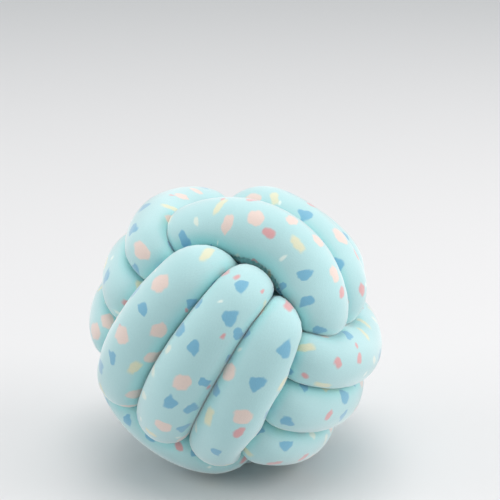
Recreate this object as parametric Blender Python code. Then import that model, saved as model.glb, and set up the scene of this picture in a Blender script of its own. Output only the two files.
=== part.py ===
# Knot cushion: one long stuffed cloth tube tied into a ball knot.
#
# The tube winds three bands round the ball, each of three turns laid side by side. A band
# crosses the ball over one pair of opposite faces and passes under the next band on its
# way round, so the six faces hold three parallel strands each, like a cube's faces with
# each pair turned a quarter from the next. One end of the tube is tucked through the middle
# of the ball, which it fills, and the other lies under the last band. Strands that press
# on each other flatten there, and each keeps its own side of the middle plane between the
# two, so the tube never cuts into itself.

import math

import bmesh
import bpy
import numpy as np
from mathutils import Euler

COLLECTION_NAME = "knot_cushion"
NODE_NAME = "knotted_tube"

# Sizes in metres
TUBE_RADIUS = 0.030         # where nothing presses on the filled tube
BALL_RADIUS = 0.1065        # middle of the ball to the tube's centreline on a face
CORE_RADIUS = 0.062         # the same where a strand passes under another band
CORE_SPACING = 0.031        # between neighbouring strands down there
STRAND_GAP = 0.0018         # left between surfaces that press on each other
FLAT_DEPTH = 0.009          # how far the underside gives where the ball rests
END_LENGTH = 0.020          # the rounded tip of each end of the tube
MIDDLE_TIP = (0.008, 0.024, -0.016)  # tip of the end that is tucked through the ball's middle

# Angles in degrees
BALL_TURN = (61, -3, -108)  # how the tied ball lies, turned about X, then Y, then Z
DIVE_ANGLE = 18             # arc that a strand takes to go down under the next band
FADE_START = 5              # before it dives, where a strand starts to move back sideways
FADE_ANGLE = 38             # arc that this takes
STEP_ASIDE = 84             # arc, out of sight, where a strand moves over to its next turn
TAIL_ANGLE = 10             # how far the first strand starts before its band
JOINT_ANGLE = 18            # left out at each end of a band for the bend to the next one
LAST_ANGLE = 4              # left out at the end of the last strand
LEAN_ANGLE = 45             # from a face's middle to its edge
ANGLE_STEP = 2              # between the points that the bands are laid out with

TURNS = 3                   # turns side by side in a band
END_SIDESTEP = 0.35         # of a turn, how far the ends of a band are pushed aside
CONTACT_SHARE = 0.97        # of the way to a neighbour that a strand fills
BEND_SHARE = 0.90           # of a bend's radius that the inner side fills
CORNER_ROUNDING = 0.30      # of the tube's radius, rounding where contact begins
TUCK_FULLNESS = 0.3         # of its span, how far the bend from the middle swings out
JOINT_FULLNESS = 0.5        # the same for the bends that join the bands
BEND_POINTS = 20            # in each of those bends

ROUTE_STEP = 0.004          # between points of the centreline
SMOOTHING_PASSES = 6
RING_COUNT = 298            # cross-sections along the tube
RING_SIDES = 18
BEND_DENSITY = 1.6          # how much closer the rings stand in a tight bend
TIGHTEST_BEND = 1.5         # tube's radius over the bend's, past which they stand no closer
PRESS_REACH = 2.6           # tube radii within which another stretch of the tube can press
OUTWARD_TURN = 0.3          # how fast the rings' first side turns to the ball's outside
OUTWARD_MINIMUM = 0.2       # cosine under which it is carried straight on instead
LEAST_REACH = 0.002         # from the centreline to the cloth, where it is squeezed most

# Each face holds the strands of one band. All three are moved aside by shift, lie spacing
# apart, stand proud by lift, slant across the face by slant on each side of its middle and
# bow sideways by bow. They dive at the angles leave_low and leave_high from the face's
# middle: low is the end away from the next axis, and high the end towards it.
FACES = {
    (0, 1): dict(shift=0.003, spacing=0.049, lift=0.001, slant=0.000, bow=0.002,
                 leave_low=37, leave_high=30),
    (0, -1): dict(shift=0.000, spacing=0.050, lift=0.000, slant=0.003, bow=-0.002,
                  leave_low=38, leave_high=28),
    (1, 1): dict(shift=-0.015, spacing=0.049, lift=-0.002, slant=-0.021, bow=-0.003,
                 leave_low=35, leave_high=36),
    (1, -1): dict(shift=0.002, spacing=0.051, lift=0.001, slant=-0.005, bow=0.000,
                  leave_low=31, leave_high=34),
    (2, 1): dict(shift=0.003, spacing=0.042, lift=0.000, slant=-0.004, bow=0.002,
                 leave_low=42, leave_high=36),
    (2, -1): dict(shift=-0.002, spacing=0.043, lift=-0.002, slant=0.005, bow=0.001,
                  leave_low=42, leave_high=42),
}

# Single strands, by band, side and turn, that differ from the rest of their face: they
# stand prouder, are fuller, slant more, curl sideways at both ends or dive some degrees
# later at their low or high end, or earlier where that is negative
PLAIN_STRAND = dict(proud=0.000, fuller=0.000, slant=0.000, curl=0.000, late_low=0, late_high=0)
STRANDS = {
    (0, 1, 0): dict(proud=0.002, fuller=0.001, slant=-0.006, curl=-0.007, late_low=8, late_high=2),
    (0, 1, 1): dict(proud=0.000, fuller=0.000, slant=-0.001, curl=-0.001, late_low=3, late_high=4),
    (0, 1, 2): dict(proud=0.000, fuller=0.001, slant=0.006, curl=0.006, late_low=3, late_high=0),
    (1, 1, 0): dict(proud=0.002, fuller=0.002, slant=0.015, curl=0.016, late_low=0, late_high=12),
    (1, 1, 1): dict(proud=0.001, fuller=0.000, slant=0.001, curl=0.000, late_low=-2, late_high=-15),
    (1, 1, 2): dict(proud=0.004, fuller=0.000, slant=0.010, curl=0.000, late_low=-7, late_high=0),
    (1, -1, 0): dict(proud=0.001, fuller=0.000, slant=0.000, curl=0.000, late_low=0, late_high=0),
    (1, -1, 2): dict(proud=0.002, fuller=0.000, slant=0.000, curl=0.000, late_low=0, late_high=0),
    (2, 1, 0): dict(proud=0.006, fuller=0.001, slant=0.000, curl=0.000, late_low=-10, late_high=-5),
    (2, -1, 0): dict(proud=0.002, fuller=0.000, slant=0.000, curl=0.000, late_low=0, late_high=0),
    (2, -1, 2): dict(proud=0.004, fuller=0.000, slant=0.000, curl=0.000, late_low=0, late_high=0),
}

CLOTH_COLOUR = (0.48, 0.73, 0.75, 1.0)
CLOTH_ROUGHNESS = 0.9


def clear_scene():
    for item in list(bpy.data.objects):
        bpy.data.objects.remove(item, do_unlink=True)


def smooth_step(t):
    """0 below 0, 1 above 1, and level at both ends."""
    t = min(max(t, 0.0), 1.0)
    return t ** 3 * (t * (6.0 * t - 15.0) + 10.0)


def turn_at(angle):
    """The turn of the band that the strand is in at this angle: 0, 1 or 2, or between."""
    steps = [smooth_step((angle + 90 - 360 * k) / STEP_ASIDE + 0.5) for k in range(TURNS + 1)]
    return min(max(sum(steps) - 1, -END_SIDESTEP), TURNS - 1 + END_SIDESTEP)


def band_point(band, angle):
    """Centreline point and tube radius of a band, 0 degrees at the middle of its first face."""
    turn = turn_at(angle)
    across = (TURNS - 1) / 2 - turn
    side = 1 if math.cos(math.radians(angle)) > 0 else -1
    local = (angle if side > 0 else angle - 180) % 360
    local = local - 360 if local > 180 else local
    face = FACES[band, side]
    strand = STRANDS.get((band, side, round(turn)), PLAIN_STRAND)
    end = "high" if local * side > 0 else "low"
    leave = face["leave_" + end] + strand["late_" + end]
    out = 1 - smooth_step((abs(local) - leave) / DIVE_ANGLE)
    fade = 1 - smooth_step((abs(local) - leave + FADE_START) / FADE_ANGLE)

    lean = local / LEAN_ANGLE
    slant = side * (face["slant"] + strand["slant"])
    offset = face["shift"] + slant * lean + face["bow"] * (1 - lean ** 2)
    offset += strand["curl"] * lean ** 2
    aside = across * (CORE_SPACING + (face["spacing"] - CORE_SPACING) * out) + offset * fade
    reach = CORE_RADIUS + (BALL_RADIUS + face["lift"] + strand["proud"] - CORE_RADIUS) * out
    reach = math.sqrt(max(reach ** 2 - out * aside ** 2, 0.0))

    point = np.zeros(3)
    point[band] = reach * math.cos(math.radians(angle))
    point[(band + 1) % 3] = reach * math.sin(math.radians(angle))
    point[(band + 2) % 3] = aside
    return point, TUBE_RADIUS + out * strand["fuller"]


def hidden_bend(start, start_way, end, end_way, fullness):
    """Points of one smooth bend inside the ball, which leads into a band."""
    pull = np.linalg.norm(end - start) * fullness
    a, b, c, d = start, start + start_way * pull, end - end_way * pull, end
    share = np.linspace(0, 1, BEND_POINTS + 2)[1:-1, None]
    rest = 1 - share
    return rest ** 3 * a + 3 * rest ** 2 * share * b + 3 * rest * share ** 2 * c + share ** 3 * d


def unit(vector):
    return vector / np.linalg.norm(vector)


def tube_route():
    """The whole centreline from one tucked end to the other, and the tube's radius along it."""
    points = []
    radii = []
    for band in range(3):
        first = -90 - TAIL_ANGLE if band == 0 else -90 + JOINT_ANGLE
        last = 360 * TURNS - 90 - (LAST_ANGLE if band == 2 else JOINT_ANGLE)
        pairs = [band_point(band, angle) for angle in range(first, last + 1, ANGLE_STEP)]
        route = [point for point, radius in pairs]
        into_band = unit(route[1] - route[0])
        if band == 0:
            tip = np.array(MIDDLE_TIP)
            bend = hidden_bend(tip, unit(-tip), route[0], into_band, TUCK_FULLNESS)
            bend = [tip, *bend]
        else:
            off_band = unit(points[-1] - points[-2])
            bend = hidden_bend(points[-1], off_band, route[0], into_band, JOINT_FULLNESS)
        points.extend(bend)
        radii.extend([TUBE_RADIUS] * len(bend))
        points.extend(route)
        radii.extend(radius for point, radius in pairs)

    points = np.array(points)
    length = np.concatenate([[0], np.cumsum(np.linalg.norm(np.diff(points, axis=0), axis=1))])
    even = np.linspace(0, length[-1], round(length[-1] / ROUTE_STEP))
    route = np.stack([np.interp(even, length, points[:, axis]) for axis in range(3)], axis=1)
    for _ in range(SMOOTHING_PASSES):
        route[1:-1] = 0.5 * route[1:-1] + 0.25 * (route[:-2] + route[2:])
    return route, np.interp(even, length, np.array(radii)), even


def ring_frames(route):
    """At each point a direction along the tube, one outwards from the ball and one across."""
    along = np.gradient(route, axis=0)
    along /= np.linalg.norm(along, axis=1)[:, None]
    outward = np.zeros_like(route)
    outward[0] = unit(route[0] - along[0] * (route[0] @ along[0]))
    for i in range(1, len(route)):
        carried = unit(outward[i - 1] - along[i] * (outward[i - 1] @ along[i]))
        radial = unit(route[i] - along[i] * (route[i] @ along[i]))
        if radial @ carried < OUTWARD_MINIMUM:
            radial = carried
        mixed = (1 - OUTWARD_TURN) * carried + OUTWARD_TURN * radial
        outward[i] = unit(mixed - along[i] * (mixed @ along[i]))
    return along, outward, np.cross(along, outward)


def ring_places(route, even):
    """Where the rings stand along the tube: closer together where it bends."""
    bend = np.linalg.norm(np.gradient(np.gradient(route, axis=0), axis=0), axis=1) / ROUTE_STEP ** 2
    weight = 1 + BEND_DENSITY * np.minimum(bend * TUBE_RADIUS, TIGHTEST_BEND)
    total = np.concatenate([[0], np.cumsum((weight[1:] + weight[:-1]) / 2)])
    return np.interp(np.linspace(0, total[-1], RING_COUNT), total, even)


def ring_radii(route, even, centre, place, outward, across, radius):
    """How far the cloth reaches from the centreline on each side of one ring."""
    turn = np.arange(RING_SIDES) * 2 * math.pi / RING_SIDES
    apart = route - centre
    squared = (apart ** 2).sum(axis=1)
    near = (squared < (PRESS_REACH * radius) ** 2) & (squared > (1.5 * ROUTE_STEP) ** 2)
    apart = apart[near]
    squared = squared[near]
    own_bend = np.abs(even[near] - place) < 2 * TUBE_RADIUS
    share = np.where(own_bend, BEND_SHARE, CONTACT_SHARE)
    toward = (np.cos(turn)[:, None] * (apart @ outward) + np.sin(turn)[:, None] * (apart @ across))
    limit = np.where(toward > 1e-9, share * squared / (2 * np.maximum(toward, 1e-9)), 1.0)
    limit = limit.min(axis=1) - STRAND_GAP / 2
    rounding = CORNER_ROUNDING * radius
    blend = np.maximum(rounding - np.abs(radius - limit), 0) ** 2 / (4 * rounding)
    return np.maximum(np.minimum(radius, limit) - blend, LEAST_REACH)


def tube_rings():
    """All cross-sections of the tube, as arrays of points in the ball's own axes."""
    route, radii, even = tube_route()
    along, outward, across = ring_frames(route)
    rings = []
    for place in ring_places(route, even):
        centre, out, side = (
            np.array([np.interp(place, even, values[:, axis]) for axis in range(3)])
            for values in (route, outward, across)
        )
        reach = ring_radii(route, even, centre, place, out, side, np.interp(place, even, radii))
        from_tip = min(place, even[-1] - place) / END_LENGTH
        if from_tip < 1:
            reach *= math.sqrt(max(1 - (1 - from_tip) ** 2, 0.01))
        turn = np.arange(RING_SIDES)[:, None] * 2 * math.pi / RING_SIDES
        rings.append(centre + reach[:, None] * (np.cos(turn) * out + np.sin(turn) * side))
    return rings


def settle(rings):
    """Turns the ball as it lies, flattens its underside and stands it on z = 0, centred."""
    turn = np.array(Euler([math.radians(a) for a in BALL_TURN], "XYZ").to_matrix())
    points = np.array(rings) @ turn.T
    floor = points[:, :, 2].min() + FLAT_DEPTH
    points[:, :, 2] = np.maximum(points[:, :, 2], floor) - floor
    for axis in range(2):
        points[:, :, axis] -= (points[:, :, axis].min() + points[:, :, axis].max()) / 2
    return points


def cloth_material():
    material = bpy.data.materials.new("printed_plush")
    material.use_nodes = True
    shader = material.node_tree.nodes["Principled BSDF"]
    shader.inputs["Base Color"].default_value = CLOTH_COLOUR
    shader.inputs["Roughness"].default_value = CLOTH_ROUGHNESS
    shader.inputs["Metallic"].default_value = 0.0
    material.diffuse_color = CLOTH_COLOUR
    return material


def build_tube(collection):
    """A loft through the rings, closed by a fan of faces at each tucked end."""
    mesh = bpy.data.meshes.new(NODE_NAME)
    shape = bmesh.new()
    loops = [[shape.verts.new(point) for point in ring] for ring in settle(tube_rings())]
    for ring, after in zip(loops, loops[1:]):
        for k in range(RING_SIDES):
            m = (k + 1) % RING_SIDES
            shape.faces.new((ring[k], ring[m], after[m], after[k]))
    for ring in (loops[0], loops[-1]):
        shape.faces.new(ring)
    bmesh.ops.recalc_face_normals(shape, faces=shape.faces)
    shape.to_mesh(mesh)
    shape.free()
    mesh.shade_smooth()
    mesh.materials.append(cloth_material())
    tube = bpy.data.objects.new(NODE_NAME, mesh)
    collection.objects.link(tube)
    return tube


def main():
    clear_scene()
    collection = bpy.data.collections.new(COLLECTION_NAME)
    bpy.context.scene.collection.children.link(collection)
    build_tube(collection)


main()
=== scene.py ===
# A round knot cushion: one long stuffed plush tube, tied into a ball of three bands that go
# round it three times each, and printed with soft terrazzo chips.
import math

import bpy
import numpy as np
from mathutils import Euler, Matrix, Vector, noise


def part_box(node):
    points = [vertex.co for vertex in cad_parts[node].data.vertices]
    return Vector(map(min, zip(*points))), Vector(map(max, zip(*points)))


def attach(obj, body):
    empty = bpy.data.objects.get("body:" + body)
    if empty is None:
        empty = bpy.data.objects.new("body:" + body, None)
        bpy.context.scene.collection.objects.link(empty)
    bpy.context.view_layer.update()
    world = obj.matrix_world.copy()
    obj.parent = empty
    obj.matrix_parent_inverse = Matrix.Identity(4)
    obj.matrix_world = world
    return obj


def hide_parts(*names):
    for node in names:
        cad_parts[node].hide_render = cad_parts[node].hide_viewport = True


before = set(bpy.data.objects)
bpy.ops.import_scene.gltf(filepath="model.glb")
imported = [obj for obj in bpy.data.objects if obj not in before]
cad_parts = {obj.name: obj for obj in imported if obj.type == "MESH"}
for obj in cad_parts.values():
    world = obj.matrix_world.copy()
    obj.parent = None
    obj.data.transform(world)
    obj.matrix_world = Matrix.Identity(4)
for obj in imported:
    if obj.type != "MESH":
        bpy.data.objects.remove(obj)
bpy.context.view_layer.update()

# How the tube is tied, in metres and degrees, as in the solid that it replaces. Only the strands
# lie closer together here.
knot = dict(
    tubeRadius=0.030,           # where nothing presses on the filled tube
    ballRadius=0.1065,          # middle of the ball to the middle of a strand on a face
    coreRadius=0.062,           # the same under another band
    coreSpacing=0.031,          # between neighbours down there
    turns=3,                    # side by side in a band
    ballTurn=(61, -3, -108),    # how the tied ball lies
    flatDepth=0.009,            # how far it gives where it rests
    edgeAngle=45,               # from a face's middle to its edge
    diveAngle=18,               # arc a strand takes to go down
    fadeStart=5,                # before it dives, where it starts to move back sideways
    fadeAngle=38,               # arc that this takes
    stepAside=84,               # hidden arc to its next turn
    tailAngle=10,               # how far the first strand starts before its band
    jointAngle=18,              # left out at both ends of a band, for the bend to the next one
    lastAngle=4,                # left out at the end of the last strand
    angleStep=2,                # between the points that a band is laid out with
    endSidestep=0.35,           # of a turn, how far the ends of a band are pushed aside
    middleTip=(0.008, 0.024, -0.016),   # tip of the end that is tucked through the middle
    tuckFullness=0.3,           # of its span, how far the bend from there swings out
    jointFullness=0.5,          # the same for the bends between the bands
    bendPoints=20,
    endLength=0.020,            # rounded tip at each end of the tube
    tipShare=0.1,               # of the radius, what is left at the very tip
    contactShare=0.998,         # of the way to a neighbour that a strand fills
    bendShare=0.90,             # of a bend's radius that the inner side fills
    strandGap=0.0002,           # what is left between strands that press on each other
    cornerRounding=0.17,        # of the radius, where contact begins
    pressReach=2.6,             # radii within which other stretches of the tube can press
    ownSteps=1.5,               # route steps beside a section that are the section itself
    bendReach=2,                # radii along the tube that are still its own bend
    squeezedReach=0.002,        # from the middle to the cloth, where it is squeezed most
    outwardTurn=0.3,            # how fast a section's outer side turns to the ball's outside
    outwardMinimum=0.2,         # cosine under which it is carried straight on instead
    routeStep=0.004,            # between points of the route
    smoothingPasses=6,
)

# Strands of each face, by band and side: moved aside, apart, lifted, slanted and bowed,
# and the angles from its middle where they dive
faceStrands = {
    (0, 1): dict(shift=0.003, spacing=0.049, lift=0.001, slant=0.000, bow=0.002, low=37, high=30),
    (0, -1): dict(shift=0.000, spacing=0.050, lift=0.000, slant=0.003, bow=-0.002, low=38, high=28),
    (1, 1): dict(shift=-0.015, spacing=0.049, lift=-0.002, slant=-0.021, bow=-0.003, low=35, high=36),
    (1, -1): dict(shift=0.002, spacing=0.051, lift=0.001, slant=-0.005, bow=0.000, low=31, high=34),
    (2, 1): dict(shift=0.003, spacing=0.042, lift=0.000, slant=-0.004, bow=0.002, low=42, high=36),
    (2, -1): dict(shift=-0.002, spacing=0.043, lift=-0.002, slant=0.005, bow=0.001, low=42, high=42),
}

# Single strands that differ, by band, side and turn: prouder, fuller, more slanted, curled at
# both ends, diving later (or earlier, below 0), and where round the tube the seam lies, counted
# from the outer side
hiddenSeam = 180
plainStrand = dict(proud=0, fuller=0, slant=0, curl=0, lateLow=0, lateHigh=0, seam=hiddenSeam)
oddStrands = {
    (0, 1, 0): dict(proud=0.002, fuller=0.001, slant=-0.006, curl=-0.007, lateLow=8, lateHigh=2),
    (0, 1, 1): dict(slant=-0.001, curl=-0.001, lateLow=3, lateHigh=4),
    (0, 1, 2): dict(fuller=0.001, slant=0.006, curl=0.006, lateLow=3),
    (0, -1, 2): dict(seam=95),
    (1, 1, 0): dict(proud=0.002, fuller=0.002, slant=0.015, curl=0.016, lateHigh=12, seam=259),
    (1, 1, 1): dict(proud=0.001, slant=0.001, lateLow=-2, lateHigh=-15),
    (1, 1, 2): dict(proud=0.004, slant=0.010, lateLow=-7),
    (1, -1, 0): dict(proud=0.001),
    (1, -1, 2): dict(proud=0.002),
    (2, 1, 0): dict(proud=0.006, fuller=0.001, lateLow=-10, lateHigh=-5),
    (2, -1, 0): dict(proud=0.002),
    (2, -1, 2): dict(proud=0.004),
}

# How finely the cloth is made, and its own small forms
cloth = dict(
    sections=1800,              # along the tube
    sides=54,                   # round it
    hiddenShare=0.22,           # how close sections stand where nobody sees them
    endReach=0.028,             # how far past its dive the rounded end of a strand shows
    seamShare=0.7,              # how much closer they stand along a seam that shows
    seamTurn=30,                # degrees from the hidden side at which a seam shows
    seamCrowding=0.5,           # how much closer the sides stand at the seam
    lumpSize=0.052,
    lumpHeight=0.0009,          # broad unevenness of the stuffing
    dimpleSize=0.020,
    dimpleHeight=0.00025,       # and a smaller one on top of it
    dimpleShift=(7, 3, 5),      # keeps the two from lining up
    softening=2,                # passes that even out the corners between strands
    seamDepth=0.0018,
    seamWidth=0.0020,
    seamReach=0.0015,           # from the middle to the cloth, the least that the seam leaves
    puckerPitch=0.0058,         # of the gathers along the seam
    puckerDepth=0.0018,
    puckerReach=0.0050,
    puckerSway=((1.7, 61, 0), (1.1, 147, 2)),   # keeps them uneven: how much, how often, start
    creaseReach=0.5,            # of the radius, how far out of a crease its painted shade shows
    flatBlend=0.004,            # rounds the edge of the flat underside
    printSide=0.8,              # 1 leaves the print unstretched on the outermost line
    printGirth=0.95,            # of the free tube's girth, what the print goes round
    printStart=3.6,             # slides the print along the tube
    tipPrint=(0.02, 0.02),      # the spot of the print on both hidden tips
    tipPrintSize=0.01,          # and its radius
    fill=0.85,
)


def smoothStep(t):
    t = min(max(t, 0.0), 1.0)
    return t ** 3 * (t * (6 * t - 15) + 10)


def turnAt(angle):
    # the turn of a band that the strand is in: 0, 1 or 2, or between them
    starts = [360 * k - 90 for k in range(knot["turns"] + 1)]
    turn = sum(smoothStep((angle - start) / knot["stepAside"] + 0.5) for start in starts) - 1
    return min(max(turn, -knot["endSidestep"]), knot["turns"] - 1 + knot["endSidestep"])


def bandSpot(band, angle):
    # x, y, z, radius, how much of it shows, where the seam lies
    turn = turnAt(angle)
    across = (knot["turns"] - 1) / 2 - turn
    side = 1 if math.cos(math.radians(angle)) > 0 else -1
    local = (angle if side > 0 else angle - 180) % 360
    local = local - 360 if local > 180 else local
    face = faceStrands[band, side]
    strand = plainStrand | oddStrands.get((band, side, round(turn)), {})
    late = strand["lateHigh"] if local * side > 0 else strand["lateLow"]
    leave = late + (face["high"] if local * side > 0 else face["low"])
    out = 1 - smoothStep((abs(local) - leave) / knot["diveAngle"])
    fade = 1 - smoothStep((abs(local) - leave + knot["fadeStart"]) / knot["fadeAngle"])

    lean = local / knot["edgeAngle"]
    offset = face["shift"] + side * (face["slant"] + strand["slant"]) * lean
    offset += face["bow"] * (1 - lean ** 2) + strand["curl"] * lean ** 2
    spacing = knot["coreSpacing"] + (face["spacing"] - knot["coreSpacing"]) * out
    aside = across * spacing + offset * fade
    outer = knot["ballRadius"] + face["lift"] + strand["proud"]
    reach = knot["coreRadius"] + (outer - knot["coreRadius"]) * out
    reach = math.sqrt(max(reach ** 2 - out * aside ** 2, 0))

    spot = [0.0] * 3
    spot[band] = reach * math.cos(math.radians(angle))
    spot[(band + 1) % 3] = reach * math.sin(math.radians(angle))
    spot[(band + 2) % 3] = aside
    seam = hiddenSeam + (strand["seam"] - hiddenSeam) * max(1 - lean ** 4, 0)
    return np.array(spot + [knot["tubeRadius"] + out * strand["fuller"], out, seam])


def unit(v):
    return v / np.linalg.norm(v)


def hiddenBend(start, startWay, end, endWay, fullness):
    # one smooth bend inside the ball, with the same columns as bandSpot
    pull = np.linalg.norm(end - start) * fullness
    share = np.linspace(0, 1, knot["bendPoints"] + 2)[1:-1, None]
    rest = 1 - share
    points = rest ** 3 * start + 3 * rest ** 2 * share * (start + startWay * pull)
    points = points + 3 * rest * share ** 2 * (end - endWay * pull) + share ** 3 * end
    plain = np.tile([knot["tubeRadius"], 0, hiddenSeam], (knot["bendPoints"], 1))
    return np.hstack([points, plain])


def tubeRoute():
    # the whole centreline in even steps, with bandSpot's columns, and the length so far
    rows = np.array([[*knot["middleTip"], knot["tubeRadius"], 0, hiddenSeam]])
    for band in range(3):
        first = -90 - knot["tailAngle"] if band == 0 else -90 + knot["jointAngle"]
        last = 360 * knot["turns"] - 90 - (knot["lastAngle"] if band == 2 else knot["jointAngle"])
        angles = range(first, last + 1, knot["angleStep"])
        strand = np.array([bandSpot(band, angle) for angle in angles])
        intoBand = unit(strand[1, :3] - strand[0, :3])
        offBand = unit(-rows[0, :3]) if band == 0 else unit(rows[-1, :3] - rows[-2, :3])
        fullness = knot["tuckFullness"] if band == 0 else knot["jointFullness"]
        bend = hiddenBend(rows[-1, :3], offBand, strand[0, :3], intoBand, fullness)
        rows = np.vstack([rows, bend, strand])
    steps = np.linalg.norm(np.diff(rows[:, :3], axis=0), axis=1)
    length = np.concatenate([[0], np.cumsum(steps)])
    even = np.linspace(0, length[-1], round(length[-1] / knot["routeStep"]))
    route = np.stack([np.interp(even, length, column) for column in rows.T], axis=1)
    for _ in range(knot["smoothingPasses"]):
        route[1:-1] = 0.5 * route[1:-1] + 0.25 * (route[:-2] + route[2:])
    return route, even


def tubeFrames(line):
    # at each point the ways along the tube, out of the ball and across
    along = np.gradient(line, axis=0)
    along /= np.linalg.norm(along, axis=1)[:, None]
    outward = np.zeros_like(line)
    outward[0] = unit(line[0] - along[0] * (line[0] @ along[0]))
    for i in range(1, len(line)):
        carried = unit(outward[i - 1] - along[i] * (outward[i - 1] @ along[i]))
        radial = unit(line[i] - along[i] * (line[i] @ along[i]))
        if radial @ carried < knot["outwardMinimum"]:
            radial = carried
        mixed = (1 - knot["outwardTurn"]) * carried + knot["outwardTurn"] * radial
        outward[i] = unit(mixed - along[i] * (mixed @ along[i]))
    return along, outward, np.cross(along, outward)


def sectionPlaces(route, even):
    # closer together where the tube shows, and more so beside a seam that does
    window = np.ones(round(2 * cloth["endReach"] / knot["routeStep"]))
    showing = np.minimum(np.convolve(route[:, 4], window, "same"), 1)
    seamShows = np.minimum(np.abs(route[:, 5] - hiddenSeam) / cloth["seamTurn"], 1)
    weight = cloth["hiddenShare"] + (1 - cloth["hiddenShare"]) * showing
    weight += cloth["seamShare"] * seamShows
    total = np.concatenate([[0], np.cumsum((weight[1:] + weight[:-1]) / 2)])
    return np.interp(np.linspace(0, total[-1], cloth["sections"]), total, even)


def sideTurns():
    # 0 to 1 round the tube from the seam, closer together beside it
    share = np.linspace(0, 1, cloth["sides"] + 1)
    return share - cloth["seamCrowding"] * np.sin(2 * math.pi * share) / (2 * math.pi)


def freeReach(centre, ways, radius):
    # the stuffing pushes the cloth out a little unevenly
    reach = np.empty(len(ways))
    shift = Vector(cloth["dimpleShift"])
    for k, way in enumerate(ways):
        spot = Vector(centre + way * radius)
        lump = noise.noise(spot / cloth["lumpSize"]) * cloth["lumpHeight"]
        dimple = noise.noise(spot / cloth["dimpleSize"] + shift) * cloth["dimpleHeight"]
        reach[k] = radius + lump + dimple
    return reach


def pressedReach(line, even, centre, place, ways, free):
    # each strand stops at the middle plane between it and what it presses on; also how deep
    # in a crease each side lies, 0 to 1
    apart = line - centre
    squared = (apart ** 2).sum(axis=1)
    radius = free.mean()
    near = squared < (knot["pressReach"] * radius) ** 2
    near &= squared > (knot["ownSteps"] * knot["routeStep"]) ** 2
    apart = apart[near]
    squared = squared[near]
    ownBend = np.abs(even[near] - place) < knot["bendReach"] * knot["tubeRadius"]
    share = np.where(ownBend, knot["bendShare"], knot["contactShare"])
    toward = ways @ apart.T
    tiny = 1e-9
    ahead = toward > tiny
    noLimit = 1.0
    limit = np.where(ahead, share * squared / (2 * np.maximum(toward, tiny)), noLimit)
    limit = limit.min(axis=1) - knot["strandGap"] / 2
    # how deep in a crease, 0 to 1: the mask of the painted crease shade
    crease = np.clip(1 - (limit / free - 1) / cloth["creaseReach"], 0, 1)
    rounding = knot["cornerRounding"] * radius
    blend = np.maximum(rounding - np.abs(free - limit), 0) ** 2 / (4 * rounding)
    return np.maximum(np.minimum(free, limit) - blend, knot["squeezedReach"]), crease


def softened(reach):
    # evens out the corners where three strands meet
    for _ in range(cloth["softening"]):
        reach = 0.5 * reach + 0.25 * (np.roll(reach, 1, axis=1) + np.roll(reach, -1, axis=1))
        reach[1:-1] = 0.5 * reach[1:-1] + 0.25 * (reach[:-2] + reach[2:])
    return reach


def seamDent(place, turns, radius):
    # a sewn groove with small gathers on both sides
    fromSeam = np.minimum(turns, 1 - turns) * 2 * math.pi * radius
    groove = cloth["seamDepth"] * np.exp(-(fromSeam / cloth["seamWidth"]) ** 2)
    sway = sum(much * math.sin(place * often + start) for much, often, start in cloth["puckerSway"])
    wave = 0.5 + 0.5 * math.cos(2 * math.pi * place / cloth["puckerPitch"] + sway)
    gathers = cloth["puckerDepth"] * wave * np.exp(-(fromSeam / cloth["puckerReach"]) ** 2)
    return groove + gathers


def tubeSections():
    # points by section and side, in the ball's own axes, and how deep in a crease each lies, which the
    # material paints as shade
    route, even = tubeRoute()
    line = route[:, :3]
    along, outward, across = tubeFrames(line)
    turns = sideTurns()[:-1]
    places = sectionPlaces(route, even)

    def onRoute(values):
        return np.stack([np.interp(places, even, column) for column in values.T], axis=1)

    centres = onRoute(line)
    radii = np.interp(places, even, route[:, 3])
    seams = np.interp(places, even, route[:, 5])
    angles = (np.radians(seams)[:, None] + 2 * math.pi * turns)[:, :, None]
    ways = np.cos(angles) * onRoute(outward)[:, None] + np.sin(angles) * onRoute(across)[:, None]
    reach = np.empty(ways.shape[:2])
    crease = np.empty(ways.shape[:2])
    for i, place in enumerate(places):
        free = freeReach(centres[i], ways[i], radii[i])
        reach[i], crease[i] = pressedReach(line, even, centres[i], place, ways[i], free)
    reach = softened(reach)
    for i, place in enumerate(places):
        reach[i] = np.maximum(reach[i] - seamDent(place, turns, radii[i]), cloth["seamReach"])
    fromTip = np.minimum(np.minimum(places, even[-1] - places) / knot["endLength"], 1)
    reach *= np.sqrt(np.maximum(1 - (1 - fromTip) ** 2, knot["tipShare"] ** 2))[:, None]
    print("tube:", round(even[-1], 2), "m long")
    return centres[:, None] + reach[:, :, None] * ways, crease


def settleBall(points):
    # turned as it lies, its underside pressed flat, and set where the solid stands
    turn = Euler([math.radians(a) for a in knot["ballTurn"]], "XYZ").to_matrix()
    turned = points @ np.array(turn).T
    height = turned[:, :, 2]
    floor = height.min() + knot["flatDepth"]
    blend = np.maximum(cloth["flatBlend"] - np.abs(height - floor), 0) ** 2
    turned[:, :, 2] = np.maximum(height, floor) + blend / (4 * cloth["flatBlend"])
    low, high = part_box("knotted_tube")
    flat = turned.reshape(-1, 3)
    move = (np.array(low + high) - flat.min(axis=0) - flat.max(axis=0)) / 2
    move[2] = low.z - floor
    return turned + move, Vector(move)


def faceCorners(rows, sides):
    # section and side of the four corners of every face along the tube
    i, k = np.meshgrid(np.arange(rows - 1), np.arange(sides), indexing="ij")
    return [(i, k), (i, k + 1), (i + 1, k + 1), (i + 1, k)]


def endRing(spot, size, sides):
    # where the face that closes one end lies on a map
    angle = np.arange(sides) * 2 * math.pi / sides
    return np.stack([spot[0] + size * np.cos(angle), spot[1] + size * np.sin(angle)], axis=1)


def addMap(mesh, name, faceSpots, ringSpots):
    spots = np.concatenate([np.stack(faceSpots, axis=2).ravel(), np.vstack(ringSpots).ravel()])
    mesh.uv_layers.new(name=name).data.foreach_set("uv", spots.astype(np.float32))


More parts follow.
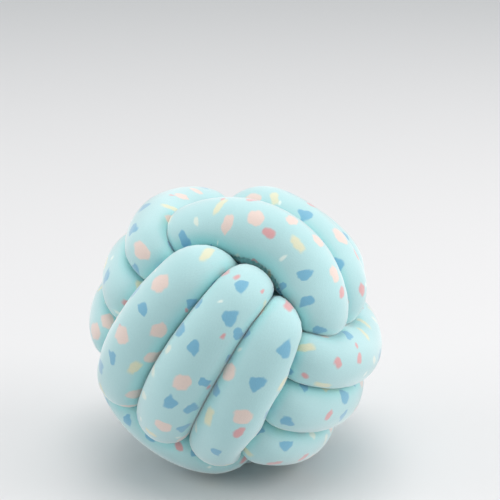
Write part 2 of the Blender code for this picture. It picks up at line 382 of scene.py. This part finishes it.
def layPrint(mesh, points, corners):
    # the print and the knit run along and round the tube, in metres, unstretched where it shows
    steps = np.linalg.norm(np.diff(points, axis=0), axis=2)
    outerSteps = np.quantile(steps, cloth["printSide"], axis=1)
    along = cloth["printStart"] + np.concatenate([[0], np.cumsum(outerSteps)])
    around = sideTurns() * (2 * math.pi * knot["tubeRadius"] * cloth["printGirth"])
    spots = [np.stack([along[a], around[b]], axis=2) for a, b in corners]
    tip = endRing(cloth["tipPrint"], cloth["tipPrintSize"], points.shape[1])
    addMap(mesh, "clothCut", spots, [tip, tip])


# The whole tube on one square: in strips side by side, with its two ends above them
bakeSheet = dict(
    strips=5,
    stripTop=0.97,
    margin=0.004,
    ends=((0.02, 0.985), (0.06, 0.985)),
    endSize=0.01,
)


def layBakeSheet(mesh, rows, sides, corners):
    strips = bakeSheet["strips"]
    margin = bakeSheet["margin"]
    perStrip = math.ceil((rows - 1) / strips)
    strip = corners[0][0] // perStrip
    turns = sideTurns()
    spots = []
    for a, b in corners:
        x = (strip + margin * strips + (1 - 2 * margin * strips) * turns[b]) / strips
        y = margin + (bakeSheet["stripTop"] - 2 * margin) * (a - strip * perStrip) / perStrip
        spots.append(np.stack([x, y], axis=2))
    rings = [endRing(spot, bakeSheet["endSize"], sides) for spot in bakeSheet["ends"]]
    addMap(mesh, "OFBake", spots, rings)


def buildCushion():
    points, crease = tubeSections()
    points, ballCentre = settleBall(points)
    rows, sides = points.shape[:2]
    corners = faceCorners(rows, sides)
    quads = np.stack([a * sides + b % sides for a, b in corners], axis=2).reshape(-1, 4).tolist()
    firstEnd = list(range(sides))[::-1]
    lastEnd = list(range((rows - 1) * sides, rows * sides))
    mesh = bpy.data.meshes.new("knotCushion")
    mesh.from_pydata(points.reshape(-1, 3).tolist(), [], quads + [firstEnd, lastEnd])
    # how deep in a crease each point lies, where the material paints a deeper teal shade
    mesh.attributes.new("crease", "FLOAT", "POINT").data.foreach_set("value", crease.ravel())
    layPrint(mesh, points, corners)
    layBakeSheet(mesh, rows, sides, corners)
    mesh.uv_layers.active = mesh.uv_layers["clothCut"]
    mesh.shade_smooth()
    cushion = bpy.data.objects.new("knotCushion", mesh)
    bpy.context.scene.collection.objects.link(cushion)
    return cushion, ballCentre


class Wire:
    # one socket of the material being made; arithmetic on it adds Math nodes
    tree = None

    def __init__(self, socket):
        self.socket = socket

    def __getitem__(self, output):
        return Wire(self.socket.node.outputs[output])

    @classmethod
    def node(cls, kind, settings=None, values=None):
        made = cls.tree.nodes.new(kind)
        for name, value in (settings or {}).items():
            setattr(made, name, value)
        for name, value in (values or {}).items():
            if isinstance(value, Wire):
                cls.tree.links.new(value.socket, made.inputs[name])
            else:
                made.inputs[name].default_value = value
        return cls(made.outputs[0]) if made.outputs else None

    def maths(self, operation, *others):
        return Wire.node("ShaderNodeMath", dict(operation=operation), dict(enumerate((self, *others))))

    def __add__(self, other):
        return self.maths("ADD", other)

    def __sub__(self, other):
        return self.maths("SUBTRACT", other)

    def __rsub__(self, other):
        return self * -1 + other

    def __mul__(self, other):
        return self.maths("MULTIPLY", other)

    def __truediv__(self, other):
        return self.maths("DIVIDE", other)

    def __pow__(self, other):
        return self.maths("POWER", other)

    __radd__ = __add__
    __rmul__ = __mul__


def clamped(wire):
    wire.socket.node.use_clamp = True
    return wire


def vectorMaths(operation, first, second):
    return Wire.node("ShaderNodeVectorMath", dict(operation=operation), {0: first, 1: second})


def mixColours(factor, first, second, blend="MIX"):
    settings = dict(data_type="RGBA", blend_type=blend)
    return Wire.node("ShaderNodeMix", settings, {0: factor, 6: first, 7: second})[2]


def noiseAt(spot, scale, detail, roughness):
    values = dict(Vector=spot, Scale=scale, Detail=detail, Roughness=roughness)
    return Wire.node("ShaderNodeTexNoise", dict(noise_dimensions="3D"), values)


# The printed plush. Colours are linear. Pitches and the bump are in metres, scales count cells
# to the metre, and the chips' softness, wobble and margin are in millimetres.
plush = dict(
    ground=(0.40, 0.65, 0.665, 1),
    groundLight=(0.46, 0.70, 0.715, 1),     # where the pile is brushed the other way
    groundCrease=(0.36, 0.70, 0.71, 1),     # painted shade where strands meet in a crease, a deeper and more saturated teal
    nap=dict(scale=38, detail=3, roughness=0.55),
    chipPitch=0.0275, chipScatter=0.55,
    speckPitch=0.046, speckScatter=0.9,
    chipSoftness=2.0,                       # of the chips' edges
    chipWobble=4.4,
    wobble=dict(scale=150, detail=1, roughness=0.5),
    chipSize=0.80, chipSizeSpread=0.34,     # times the size of its kind
    shapeDraw=(7.3, 3.7),                   # makes a third draw out of a chip's other two
    cellMargin=0.6,                         # keeps chips off the borders of their cells
    pile=dict(scale=1 / 0.0011, detail=2, roughness=0.6),
    pileStretch=(0.55, 1.0, 1.0),
    pileShare=0.70,                         # the rest of the grain is the knit under it
    ribPitch=0.0016, ribDepth=0.25,
    toneLow=0.93, toneSpread=0.14,
    bumpDepth=0.00028, bumpStrength=0.8,
    roughness=0.90, roughnessSpread=0.1,
    sheen=1.0, sheenRoughness=0.45, sheenTint=(1.0, 1.0, 1.0, 1),
    specular=0.25,
)

# How chips are cut, in halves of their size: their straight sides' directions, how far out each
# side lies at least and how much farther it can, and how sharp the corners are. The draw picks
# each side's own distance.
chipShapes = dict(
    pebble=dict(
        sides=(10, 82, 154, 226, 298), least=0.82, spread=0.34, draw=(3.1, 2.3), sharpness=5,
    ),
    wedge=dict(
        sides=(80, 165, 230, 320), least=0.62, spread=0.42, draw=(4.7, 1.9), sharpness=4,
        cap=1.15,               # how far up and down it can reach
    ),
    sliver=dict(skew=0.35, sharpness=3.5),
    drop=dict(skew=0, sharpness=2.4),
)

# Each kind has its share of the cells, its colour, and half its width and height in millimetres.
# Cells that are left over stay empty.
chipKinds = [
    dict(shape="pebble", share=0.25, colour=(0.75, 0.62, 0.56, 1), half=(6.7, 7.8)),
    dict(shape="wedge", share=0.40, colour=(0.185, 0.445, 0.605, 1), half=(5.6, 7.4)),
    dict(shape="sliver", share=0.15, colour=(0.68, 0.70, 0.51, 1), half=(3.5, 7.5)),
    dict(shape="drop", share=0.08, colour=(0.66, 0.36, 0.365, 1), half=(4.0, 5.9)),
    dict(shape="drop", share=0.12, colour=(0.66, 0.76, 0.68, 1), half=(3.3, 5.2)),
]
speckKinds = [
    dict(shape="drop", share=0.35, colour=(0.66, 0.36, 0.365, 1), half=(1.9, 2.4)),
    dict(shape="drop", share=0.35, colour=(0.72, 0.83, 0.78, 1), half=(1.6, 2.7)),
]


def sideDistance(x, y, angle, reach):
    # how far out towards one straight side, 1 on it
    a = math.radians(angle)
    return (x * math.cos(a) + y * math.sin(a)) / reach


def roundedOutline(distances, sharpness):
    parts = [distance.maths("MAXIMUM", 0) ** sharpness for distance in distances]
    total = parts[0]
    for part in parts[1:]:
        total = total + part
    return total ** (1 / sharpness)


def chipOutline(kind, x, y, chance):
    # 1 on the chip's edge, less inside
    shape = chipShapes[kind["shape"]]
    wide, tall = kind["half"]
    x = x / wide
    y = y / tall
    if "sides" not in shape:
        if shape["skew"]:
            x = x + y * shape["skew"]
        return roundedOutline([x.maths("ABSOLUTE"), y.maths("ABSOLUTE")], shape["sharpness"])
    first, step = shape["draw"]
    distances = []
    for n, angle in enumerate(shape["sides"]):
        drawn = (chance * (first + step * n)).maths("FRACT")
        distances.append(sideDistance(x, y, angle, shape["least"] + shape["spread"] * drawn))
    if "cap" in shape:
        distances.append(y.maths("ABSOLUTE") / shape["cap"])
    return roundedOutline(distances, shape["sharpness"])


def scatteredChips(spot, colour, kinds, pitch, scatter):
    # one chip in each cell of a loose grid, turned and sized by chance
    grid = dict(Vector=spot, Scale=1 / pitch, Randomness=scatter)
    cells = Wire.node("ShaderNodeTexVoronoi", dict(voronoi_dimensions="2D", feature="F1"), grid)
    edges = dict(voronoi_dimensions="2D", feature="DISTANCE_TO_EDGE")
    border = Wire.node("ShaderNodeTexVoronoi", edges, grid)
    kindChance = Wire.node("ShaderNodeSeparateColor", None, {0: cells["Color"]})
    turnChance = kindChance["Green"]
    sizeChance = kindChance["Blue"]
    bySize, byTurn = plush["shapeDraw"]
    shapeChance = (sizeChance * bySize + turnChance * byTurn).maths("FRACT")

    # millimetres from the chip's middle, with a wobbly outline
    unevenness = noiseAt(spot, **plush["wobble"])["Color"]
    wobble = Wire.node("ShaderNodeSeparateColor", None, {0: unevenness})
    fromMiddle = vectorMaths("SUBTRACT", spot, cells["Position"])
    away = Wire.node("ShaderNodeSeparateXYZ", None, {0: fromMiddle})
    dx = away * 1000 + (wobble - 0.5) * plush["chipWobble"]
    dy = away["Y"] * 1000 + (wobble["Green"] - 0.5) * plush["chipWobble"]
    angle = turnChance * (2 * math.pi)
    cosine = angle.maths("COSINE")
    sine = angle.maths("SINE")
    size = plush["chipSize"] + plush["chipSizeSpread"] * sizeChance
    x = (dx * cosine + dy * sine) / size
    y = (dy * cosine - dx * sine) / size

    inCell = clamped(border * (1000 * pitch) - plush["cellMargin"])
    low = 0.0
    for kind in kinds:
        high = low + kind["share"]
        chosen = kindChance.maths("GREATER_THAN", low) * kindChance.maths("LESS_THAN", high)
        sharpness = min(kind["half"]) / plush["chipSoftness"]
        edge = (1 - chipOutline(kind, x, y, shapeChance)) * sharpness
        mask = clamped(edge + 0.5) * chosen * inCell
        mask = mask * mask * (3 - 2 * mask)
        colour = mixColours(mask, colour, kind["colour"])
        low = high
    return colour


def pileGrain(spot):
    # short pile on a fine knit, 0 to 1
    pile = noiseAt(vectorMaths("MULTIPLY", spot, plush["pileStretch"]), **plush["pile"])
    place = Wire.node("ShaderNodeSeparateXYZ", None, {0: spot})
    turn = 2 * math.pi / plush["ribPitch"]
    ribs = (place["Y"] * turn).maths("SINE")
    loops = (place * turn).maths("SINE")
    knit = 0.5 + plush["ribDepth"] * ribs * loops
    return plush["pileShare"] * pile + (1 - plush["pileShare"]) * knit


def plushMaterial():
    material = bpy.data.materials.new("printedPlush")
    material.use_nodes = True
    Wire.tree = material.node_tree
    Wire.tree.nodes.clear()
    spot = Wire.node("ShaderNodeUVMap", dict(uv_map="clothCut"))
    nap = noiseAt(spot, **plush["nap"])
    crease = Wire.node("ShaderNodeAttribute", dict(attribute_name="crease"))["Fac"]
    colour = mixColours(nap, plush["ground"], plush["groundLight"])
    # painted shade: a deeper teal towards the creases between strands
    colour = mixColours(crease, colour, plush["groundCrease"])
    colour = scatteredChips(spot, colour, speckKinds, plush["speckPitch"], plush["speckScatter"])
    colour = scatteredChips(spot, colour, chipKinds, plush["chipPitch"], plush["chipScatter"])

    grain = pileGrain(spot)
    tone = plush["toneLow"] + plush["toneSpread"] * grain
    shade = Wire.node("ShaderNodeCombineColor", None, {0: tone, 1: tone, 2: tone})
    bump = dict(Strength=plush["bumpStrength"], Distance=plush["bumpDepth"], Height=grain)
    shader = Wire.node("ShaderNodeBsdfPrincipled", None, {
        "Base Color": mixColours(1.0, colour, shade, "MULTIPLY"),
        "Roughness": plush["roughness"] - plush["roughnessSpread"] * (nap - 0.5),
        "Normal": Wire.node("ShaderNodeBump", None, bump),
        "Sheen Weight": plush["sheen"],
        "Sheen Roughness": plush["sheenRoughness"],
        "Sheen Tint": plush["sheenTint"],
        "Specular IOR Level": plush["specular"],
    })
    Wire.node("ShaderNodeOutputMaterial", None, dict(Surface=shader))
    return material


# A plain pale studio, with soft light from above and from both sides
studio = dict(
    floorSize=14.0,
    floorColour=(0.695, 0.705, 0.71, 1),
    floorRoughness=0.85,
    skyColour=(0.93, 0.98, 1.0, 1),
    skyStrength=0.54,
    lampColour=(1.0, 0.94, 0.93),
    lampSize=2.0,
    lamps=[
        dict(name="topLight", power=46, place=(0.1, 0.15, 2.8)),
        dict(name="rightLight", power=42, place=(2.6, -0.1, 1.2)),
        dict(name="leftLight", power=24, place=(-2.6, -0.1, 1.2)),
    ],
)


def addFloor():
    half = studio["floorSize"] / 2
    corners = [(-half, -half, 0), (half, -half, 0), (half, half, 0), (-half, half, 0)]
    mesh = bpy.data.meshes.new("studioFloor")
    mesh.from_pydata(corners, [], [(0, 1, 2, 3)])
    floor = bpy.data.objects.new("studioFloor", mesh)
    bpy.context.scene.collection.objects.link(floor)
    material = bpy.data.materials.new("paleFloor")
    material.use_nodes = True
    shader = material.node_tree.nodes["Principled BSDF"]
    shader.inputs["Base Color"].default_value = studio["floorColour"]
    shader.inputs["Roughness"].default_value = studio["floorRoughness"]
    mesh.materials.append(material)


def addSky():
    world = bpy.data.worlds.new("paleSky")
    world.use_nodes = True
    sky = world.node_tree.nodes["Background"]
    sky.inputs["Color"].default_value = studio["skyColour"]
    sky.inputs["Strength"].default_value = studio["skyStrength"]
    bpy.context.scene.world = world


def addLamp(lamp, aim):
    light = bpy.data.lights.new(lamp["name"], "AREA")
    light.energy = lamp["power"]
    light.size = studio["lampSize"]
    light.color = studio["lampColour"]
    made = bpy.data.objects.new(lamp["name"], light)
    made.location = lamp["place"]
    made.rotation_euler = (aim - Vector(lamp["place"])).to_track_quat("-Z", "Y").to_euler()
    made.visible_camera = False
    bpy.context.scene.collection.objects.link(made)


# Where the photo was taken from; the spot is where the ball's middle falls in its 500 px frame
view = dict(
    elevation=22,
    distance=1.5,
    focalPixels=1611,
    framePixels=500,
    ballSpot=(236.3, 326.9),
    sensorWidth=36,
)


def addCamera(ballCentre):
    camera = bpy.data.cameras.new("camera")
    camera.sensor_width = view["sensorWidth"]
    camera.lens = view["focalPixels"] / view["framePixels"] * view["sensorWidth"]
    eye = bpy.data.objects.new("camera", camera)
    tilt = math.radians(view["elevation"])
    back = Vector((0, -math.cos(tilt), math.sin(tilt)))
    eye.location = ballCentre + back * view["distance"]
    middle = view["framePixels"] / 2
    right = math.atan((middle - view["ballSpot"][0]) / view["focalPixels"])
    up = math.atan((view["ballSpot"][1] - middle) / view["focalPixels"])
    facing = (-back).to_track_quat("-Z", "Y") @ Euler((up, -right, 0)).to_quaternion()
    eye.rotation_euler = facing.to_euler()
    bpy.context.scene.collection.objects.link(eye)
    bpy.context.scene.camera = eye


cushion, ballCentre = buildCushion()
print("cushion:", len(cushion.data.polygons), "faces, middle of the ball at", ballCentre)
cushion.data.materials.append(plushMaterial())
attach(cushion, "root")
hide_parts("knotted_tube")
print("plush done")

addFloor()
addSky()
for lamp in studio["lamps"]:
    addLamp(lamp, ballCentre)
addCamera(ballCentre)
bpy.context.scene.view_settings.view_transform = "Standard"
print("studio and camera done")
